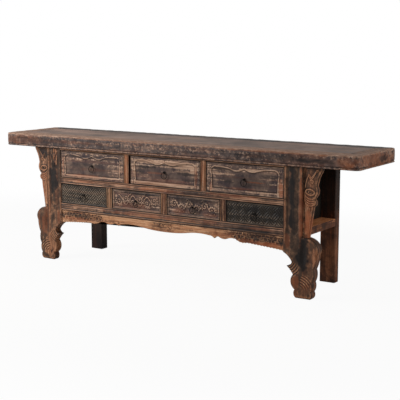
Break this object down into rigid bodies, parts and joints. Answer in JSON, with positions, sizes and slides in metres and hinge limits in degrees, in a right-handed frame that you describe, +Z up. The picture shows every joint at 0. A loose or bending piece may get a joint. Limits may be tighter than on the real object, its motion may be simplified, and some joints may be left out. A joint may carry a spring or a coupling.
{
  "type": "altar table",
  "caption": "Long altar coffer with carved front legs, wing brackets, a shaped apron and two rows of drawers with iron ring pulls.",
  "frame": {"origin": "on the floor under the middle of the top", "axes": "+X along the table's length, to the right seen from the front; +Y towards the back; +Z up"},
  "size_m": [2.63, 0.53, 0.85],
  "materials": {
    "top_wood": "worn dark lacquer on old elm",
    "carved_wood": "worn dark lacquer on carved old elm",
    "rail_wood": "worn lacquer with rubbed beads",
    "apron_wood": "bare tan wood with traces of lacquer",
    "drawer_front_wood": "worn brown lacquer",
    "mat_wood": "dark grey-black lacquer",
    "rear_wood": "dark stained wood",
    "inner_wood": "unfinished old softwood",
    "pull_iron": "dark wrought iron"
  },
  "bodies": {
    "frame": {"top_panel": "top_wood", "top_front_rail": "top_wood", "top_rear_rail": "top_wood", "top_end_left": "top_wood", "top_end_right": "top_wood", "top_battens": "inner_wood", "front_leg_left": "carved_wood", "front_leg_right": "carved_wood", "rear_leg_left": "rear_wood", "rear_leg_right": "rear_wood", "spandrel_left": "carved_wood", "spandrel_right": "carved_wood", "front_top_rail": "rail_wood", "front_middle_rail": "rail_wood", "front_bottom_rail": "rail_wood", "upper_dividers": "rail_wood", "lower_dividers": "rail_wood", "apron": "apron_wood", "side_panel_left": "rear_wood", "side_panel_right": "rear_wood", "side_rails_left": "rail_wood", "side_rails_right": "rail_wood", "rear_rails": "rear_wood", "back_panels": "rear_wood", "drawer_runners": "inner_wood"},
    "upper_drawer_left": {"upper_drawer_left_front": "drawer_front_wood", "upper_drawer_left_walls": "inner_wood", "upper_drawer_left_bottom": "inner_wood", "upper_drawer_left_pull": "pull_iron"},
    "upper_drawer_left_pull_ring": {"upper_drawer_left_ring": "pull_iron"},
    "upper_drawer_middle": {"upper_drawer_middle_front": "drawer_front_wood", "upper_drawer_middle_walls": "inner_wood", "upper_drawer_middle_bottom": "inner_wood", "upper_drawer_middle_pull": "pull_iron"},
    "upper_drawer_middle_pull_ring": {"upper_drawer_middle_ring": "pull_iron"},
    "upper_drawer_right": {"upper_drawer_right_front": "drawer_front_wood", "upper_drawer_right_walls": "inner_wood", "upper_drawer_right_bottom": "inner_wood", "upper_drawer_right_pull": "pull_iron"},
    "upper_drawer_right_pull_ring": {"upper_drawer_right_ring": "pull_iron"},
    "lower_drawer_far_left": {"lower_drawer_far_left_front": "mat_wood", "lower_drawer_far_left_walls": "inner_wood", "lower_drawer_far_left_bottom": "inner_wood", "lower_drawer_far_left_pull": "pull_iron"},
    "lower_drawer_far_left_pull_ring": {"lower_drawer_far_left_ring": "pull_iron"},
    "lower_drawer_near_left": {"lower_drawer_near_left_front": "drawer_front_wood", "lower_drawer_near_left_walls": "inner_wood", "lower_drawer_near_left_bottom": "inner_wood", "lower_drawer_near_left_pull": "pull_iron"},
    "lower_drawer_near_left_pull_ring": {"lower_drawer_near_left_ring": "pull_iron"},
    "lower_drawer_near_right": {"lower_drawer_near_right_front": "drawer_front_wood", "lower_drawer_near_right_walls": "inner_wood", "lower_drawer_near_right_bottom": "inner_wood", "lower_drawer_near_right_pull": "pull_iron"},
    "lower_drawer_near_right_pull_ring": {"lower_drawer_near_right_ring": "pull_iron"},
    "lower_drawer_far_right": {"lower_drawer_far_right_front": "mat_wood", "lower_drawer_far_right_walls": "inner_wood", "lower_drawer_far_right_bottom": "inner_wood", "lower_drawer_far_right_pull": "pull_iron"},
    "lower_drawer_far_right_pull_ring": {"lower_drawer_far_right_ring": "pull_iron"}
  },
  "joints": [
    {"name": "upper_drawer_left_slide", "type": "slide", "parent": "frame", "child": "upper_drawer_left", "axis": [0, -1, 0], "range_m": [0, 0.32]},
    {"name": "upper_drawer_left_ring_swing", "type": "hinge", "parent": "upper_drawer_left", "child": "upper_drawer_left_pull_ring", "pos_m": [-0.577, -0.247, 0.663], "axis": [-1, 0, 0], "range_deg": [-5, 175]},
    {"name": "upper_drawer_middle_slide", "type": "slide", "parent": "frame", "child": "upper_drawer_middle", "axis": [0, -1, 0], "range_m": [0, 0.32]},
    {"name": "upper_drawer_middle_ring_swing", "type": "hinge", "parent": "upper_drawer_middle", "child": "upper_drawer_middle_pull_ring", "pos_m": [0.003, -0.247, 0.663], "axis": [-1, 0, 0], "range_deg": [-5, 175]},
    {"name": "upper_drawer_right_slide", "type": "slide", "parent": "frame", "child": "upper_drawer_right", "axis": [0, -1, 0], "range_m": [0, 0.32]},
    {"name": "upper_drawer_right_ring_swing", "type": "hinge", "parent": "upper_drawer_right", "child": "upper_drawer_right_pull_ring", "pos_m": [0.577, -0.247, 0.663], "axis": [-1, 0, 0], "range_deg": [-5, 175]},
    {"name": "lower_drawer_far_left_slide", "type": "slide", "parent": "frame", "child": "lower_drawer_far_left", "axis": [0, -1, 0], "range_m": [0, 0.32]},
    {"name": "lower_drawer_far_left_ring_swing", "type": "hinge", "parent": "lower_drawer_far_left", "child": "lower_drawer_far_left_pull_ring", "pos_m": [-0.64875, -0.2485, 0.4655], "axis": [-1, 0, 0], "range_deg": [-5, 175]},
    {"name": "lower_drawer_near_left_slide", "type": "slide", "parent": "frame", "child": "lower_drawer_near_left", "axis": [0, -1, 0], "range_m": [0, 0.32]},
    {"name": "lower_drawer_near_left_ring_swing", "type": "hinge", "parent": "lower_drawer_near_left", "child": "lower_drawer_near_left_pull_ring", "pos_m": [-0.21625, -0.247, 0.4655], "axis": [-1, 0, 0], "range_deg": [-5, 175]},
    {"name": "lower_drawer_near_right_slide", "type": "slide", "parent": "frame", "child": "lower_drawer_near_right", "axis": [0, -1, 0], "range_m": [0, 0.32]},
    {"name": "lower_drawer_near_right_ring_swing", "type": "hinge", "parent": "lower_drawer_near_right", "child": "lower_drawer_near_right_pull_ring", "pos_m": [0.21625, -0.247, 0.4655], "axis": [-1, 0, 0], "range_deg": [-5, 175]},
    {"name": "lower_drawer_far_right_slide", "type": "slide", "parent": "frame", "child": "lower_drawer_far_right", "axis": [0, -1, 0], "range_m": [0, 0.32]},
    {"name": "lower_drawer_far_right_ring_swing", "type": "hinge", "parent": "lower_drawer_far_right", "child": "lower_drawer_far_right_pull_ring", "pos_m": [0.64875, -0.2485, 0.4655], "axis": [-1, 0, 0], "range_deg": [-5, 175]}
  ]
}
